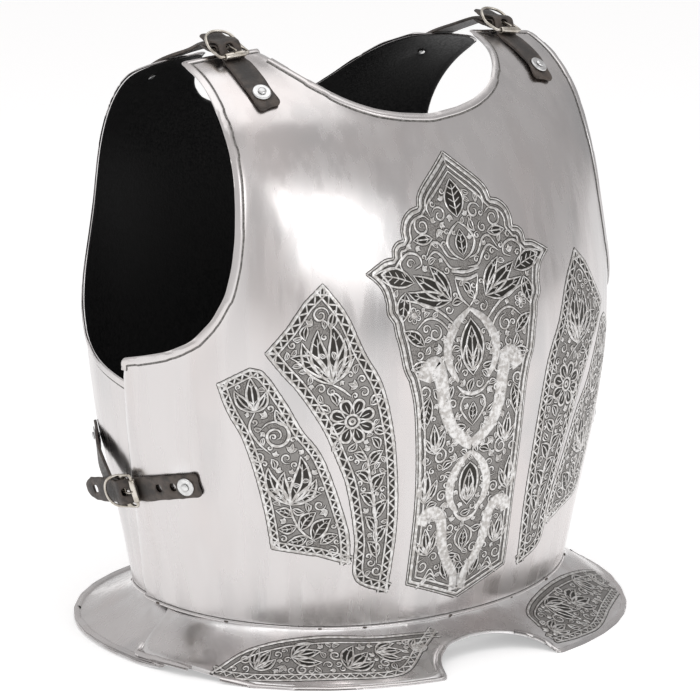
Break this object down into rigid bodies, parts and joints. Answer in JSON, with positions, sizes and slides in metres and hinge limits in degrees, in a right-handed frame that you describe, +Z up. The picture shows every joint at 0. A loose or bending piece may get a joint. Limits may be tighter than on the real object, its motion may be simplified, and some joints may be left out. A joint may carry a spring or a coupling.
{
  "type": "steel cuirass",
  "caption": "Steel breastplate and backplate with flared waist plates and an etched front, closed over a hollow trunk by leather straps, roller buckles and rivets.",
  "frame": {"origin": "on the ground under the middle of the cuirass's bounding box, where the lower rims stand", "axes": "+Z up the wearer's trunk, -Y the way the chest faces, +X the wearer's left"},
  "size_m": [0.4182, 0.3705, 0.44],
  "materials": {
    "plate_steel": "brushed and polished steel, etched on the front, blackened inside",
    "leather": "dark brown, almost black, strap leather",
    "buckle_nickel": "satin nickel-plated wire",
    "rivet_nickel": "satin nickel-plated rivets and washers"
  },
  "bodies": {
    "root": {"breastplate": "plate_steel", "backplate": "plate_steel", "front_fauld": "plate_steel", "back_fauld": "plate_steel", "shoulder_strap_front_left": "leather", "shoulder_strap_back_left": "leather", "shoulder_buckle_frame_left": "buckle_nickel", "shoulder_buckle_roller_left": "buckle_nickel", "shoulder_buckle_prong_left": "buckle_nickel", "shoulder_washer_front_left": "rivet_nickel", "shoulder_rivet_front_left": "rivet_nickel", "shoulder_washer_back_left": "rivet_nickel", "shoulder_rivet_back_left": "rivet_nickel", "shoulder_strap_front_right": "leather", "shoulder_strap_back_right": "leather", "shoulder_buckle_frame_right": "buckle_nickel", "shoulder_buckle_roller_right": "buckle_nickel", "shoulder_buckle_prong_right": "buckle_nickel", "shoulder_washer_front_right": "rivet_nickel", "shoulder_rivet_front_right": "rivet_nickel", "shoulder_washer_back_right": "rivet_nickel", "shoulder_rivet_back_right": "rivet_nickel", "side_strap_front_left": "leather", "side_strap_back_left": "leather", "side_buckle_frame_left": "buckle_nickel", "side_buckle_roller_left": "buckle_nickel", "side_buckle_prong_left": "buckle_nickel", "side_washer_front_left": "rivet_nickel", "side_rivet_front_left": "rivet_nickel", "side_washer_back_left": "rivet_nickel", "side_rivet_back_left": "rivet_nickel", "side_strap_front_right": "leather", "side_strap_back_right": "leather", "side_buckle_frame_right": "buckle_nickel", "side_buckle_roller_right": "buckle_nickel", "side_buckle_prong_right": "buckle_nickel", "side_washer_front_right": "rivet_nickel", "side_rivet_front_right": "rivet_nickel", "side_washer_back_right": "rivet_nickel", "side_rivet_back_right": "rivet_nickel"}
  },
  "joints": []
}
